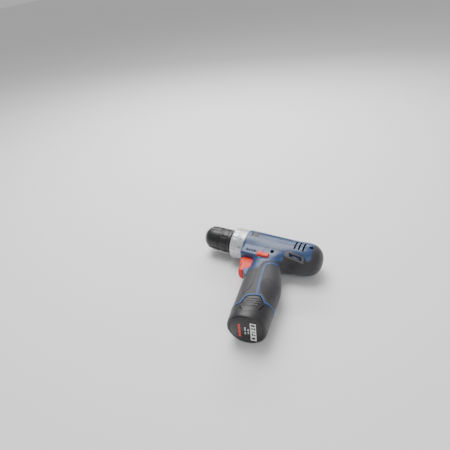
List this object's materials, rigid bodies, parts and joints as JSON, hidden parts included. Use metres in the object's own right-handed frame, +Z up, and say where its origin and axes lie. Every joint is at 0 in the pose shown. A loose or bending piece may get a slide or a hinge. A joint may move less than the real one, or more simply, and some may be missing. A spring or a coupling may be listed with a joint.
{
  "type": "cordless drill driver",
  "caption": "Pistol-grip cordless drill driver lying on its side, with keyless chuck, torque collar, geared motor, trigger, direction lever and slide-in battery",
  "frame": {"origin": "middle of the underside of the drill's bounding box as it lies on its right side", "axes": "+X runs from the chuck back along the barrel, +Y runs up the grip towards the barrel, +Z points up out of the drill's left side"},
  "size_m": [0.1962, 0.1882, 0.053],
  "materials": {
    "blue_abs": "moulded satin",
    "soft_rubber": "soft matte",
    "red_abs": "moulded satin",
    "silver_nylon": "satin",
    "black_nylon": "satin",
    "gloss_black": "gloss",
    "steel": "machined",
    "sintered_steel": "sintered",
    "brass": "machined",
    "copper": "drawn copper; brass stands in for it",
    "circuit_board": "lacquered glass fibre",
    "white_nylon": "moulded",
    "ferrite": "sintered ferrite",
    "cell_wrap": "shrink film over a steel can"
  },
  "bodies": {
    "housing": {"housing_left": "blue_abs", "housing_right": "blue_abs", "soft_cover_left": "soft_rubber", "soft_cover_right": "soft_rubber", "badge": "black_nylon", "housing_screw_barrel": "steel", "housing_screw_rear": "steel", "housing_screw_front": "steel", "housing_screw_web": "steel", "speed_switch": "black_nylon", "trigger_spring": "steel", "terminal_block": "black_nylon", "clutch_spring": "steel", "clutch_plate": "steel", "gearbox_case": "white_nylon", "gearbox_cover": "white_nylon", "ring_gear": "sintered_steel", "spindle_bearing": "steel", "motor_can": "steel", "motor_end_cap": "black_nylon", "magnet_left": "ferrite", "magnet_right": "ferrite", "brush_upper": "ferrite", "brush_lower": "ferrite"},
    "trigger": {"trigger": "red_abs"},
    "direction_lever": {"direction_lever": "red_abs"},
    "torque_collar": {"torque_collar": "silver_nylon"},
    "output": {"spindle": "steel", "chuck_body": "steel", "chuck_screw": "steel"},
    "middle_carrier": {"middle_carrier": "sintered_steel"},
    "rotor": {"motor_shaft": "steel", "motor_pinion": "brass", "armature": "copper", "commutator": "copper", "cooling_fan": "white_nylon"},
    "chuck_sleeve": {"chuck_sleeve": "black_nylon", "jaw_nut": "sintered_steel"},
    "battery": {"battery_case": "black_nylon", "battery_cap": "black_nylon", "battery_end_plate": "gloss_black", "battery_cell_1": "cell_wrap", "battery_cell_2": "cell_wrap", "battery_cell_3": "cell_wrap", "protection_board": "circuit_board", "battery_contacts": "brass"},
    "release_button_left": {"release_button_left": "black_nylon"},
    "release_button_right": {"release_button_right": "black_nylon"},
    "planet_1_a": {"planet_gear_1_a": "sintered_steel"},
    "planet_1_b": {"planet_gear_1_b": "sintered_steel"},
    "planet_1_c": {"planet_gear_1_c": "sintered_steel"},
    "planet_2_a": {"planet_gear_2_a": "sintered_steel"},
    "planet_2_b": {"planet_gear_2_b": "sintered_steel"},
    "planet_2_c": {"planet_gear_2_c": "sintered_steel"},
    "jaw_1": {"jaw_1": "steel"},
    "jaw_2": {"jaw_2": "steel"},
    "jaw_3": {"jaw_3": "steel"}
  },
  "joints": [
    {"name": "trigger_pull", "type": "slide", "parent": "housing", "child": "trigger", "axis": [1, 0, 0], "range_m": [0, 0.007], "stiffness_N_per_m": 700, "springref_m": -0.006, "deforming": ["trigger_spring"]},
    {"name": "direction_shift", "type": "slide", "parent": "housing", "child": "direction_lever", "axis": [0, 0, 1], "range_m": [-0.003, 0.003]},
    {"name": "torque_setting", "type": "hinge", "parent": "housing", "child": "torque_collar", "pos_m": [-0.04648, 0.06587, 0.0265], "axis": [1, 0, 0], "range_deg": [-150, 150]},
    {"name": "spindle_spin", "type": "hinge", "parent": "housing", "child": "output", "pos_m": [-0.04648, 0.06587, 0.0265], "axis": [1, 0, 0], "continuous": true},
    {"name": "middle_carrier_spin", "type": "hinge", "parent": "housing", "child": "middle_carrier", "pos_m": [-0.04648, 0.06587, 0.0265], "axis": [1, 0, 0], "continuous": true},
    {"name": "rotor_spin", "type": "hinge", "parent": "housing", "child": "rotor", "pos_m": [-0.04648, 0.06587, 0.0265], "axis": [1, 0, 0], "continuous": true},
    {"name": "planet_2_a_spin", "type": "hinge", "parent": "output", "child": "planet_2_a", "pos_m": [-0.01348, 0.07505, 0.0265], "axis": [1, 0, 0], "continuous": true},
    {"name": "planet_2_b_spin", "type": "hinge", "parent": "output", "child": "planet_2_b", "pos_m": [-0.01348, 0.06128, 0.03445], "axis": [1, 0, 0], "continuous": true},
    {"name": "planet_2_c_spin", "type": "hinge", "parent": "output", "child": "planet_2_c", "pos_m": [-0.01348, 0.06128, 0.01855], "axis": [1, 0, 0], "continuous": true},
    {"name": "planet_1_a_spin", "type": "hinge", "parent": "middle_carrier", "child": "planet_1_a", "pos_m": [-0.00147, 0.07505, 0.0265], "axis": [1, 0, 0], "continuous": true},
    {"name": "planet_1_b_spin", "type": "hinge", "parent": "middle_carrier", "child": "planet_1_b", "pos_m": [-0.00147, 0.06128, 0.03445], "axis": [1, 0, 0], "continuous": true},
    {"name": "planet_1_c_spin", "type": "hinge", "parent": "middle_carrier", "child": "planet_1_c", "pos_m": [-0.00147, 0.06128, 0.01855], "axis": [1, 0, 0], "continuous": true},
    {"name": "sleeve_turn", "type": "hinge", "parent": "output", "child": "chuck_sleeve", "pos_m": [-0.04648, 0.06587, 0.0265], "axis": [1, 0, 0], "range_deg": [-880, 1460]},
    {"name": "jaw_1_slide", "type": "slide", "parent": "output", "child": "jaw_1", "axis": [0.9613, 0.2387, 0.1378], "range_m": [-0.0104, 0.0063]},
    {"name": "jaw_2_slide", "type": "slide", "parent": "output", "child": "jaw_2", "axis": [0.9613, -0.2387, 0.1378], "range_m": [-0.0104, 0.0063]},
    {"name": "jaw_3_slide", "type": "slide", "parent": "output", "child": "jaw_3", "axis": [0.9613, 0, -0.2756], "range_m": [-0.0104, 0.0063]},
    {"name": "battery_slide", "type": "slide", "parent": "housing", "child": "battery", "axis": [0.1616, -0.9869, 0], "range_m": [0, 0.06]},
    {"name": "release_button_left_press", "type": "slide", "parent": "battery", "child": "release_button_left", "axis": [0, 0, -1], "range_m": [0, 0.0015], "stiffness_N_per_m": 900, "springref_m": -0.002},
    {"name": "release_button_right_press", "type": "slide", "parent": "battery", "child": "release_button_right", "axis": [0, 0, 1], "range_m": [0, 0.0015], "stiffness_N_per_m": 900, "springref_m": -0.002}
  ],
  "couplings": [
    {"joint": "middle_carrier_spin", "follows": "spindle_spin", "ratio": 4.5},
    {"joint": "rotor_spin", "follows": "spindle_spin", "ratio": 20.25},
    {"joint": "planet_2_a_spin", "follows": "spindle_spin", "ratio": -2.8},
    {"joint": "planet_2_b_spin", "follows": "spindle_spin", "ratio": -2.8},
    {"joint": "planet_2_c_spin", "follows": "spindle_spin", "ratio": -2.8},
    {"joint": "planet_1_a_spin", "follows": "spindle_spin", "ratio": -12.6},
    {"joint": "planet_1_b_spin", "follows": "spindle_spin", "ratio": -12.6},
    {"joint": "planet_1_c_spin", "follows": "spindle_spin", "ratio": -12.6},
    {"joint": "jaw_1_slide", "follows": "sleeve_turn", "m_per_rad": -0.0004},
    {"joint": "jaw_2_slide", "follows": "sleeve_turn", "m_per_rad": -0.0004},
    {"joint": "jaw_3_slide", "follows": "sleeve_turn", "m_per_rad": -0.0004}
  ]
}
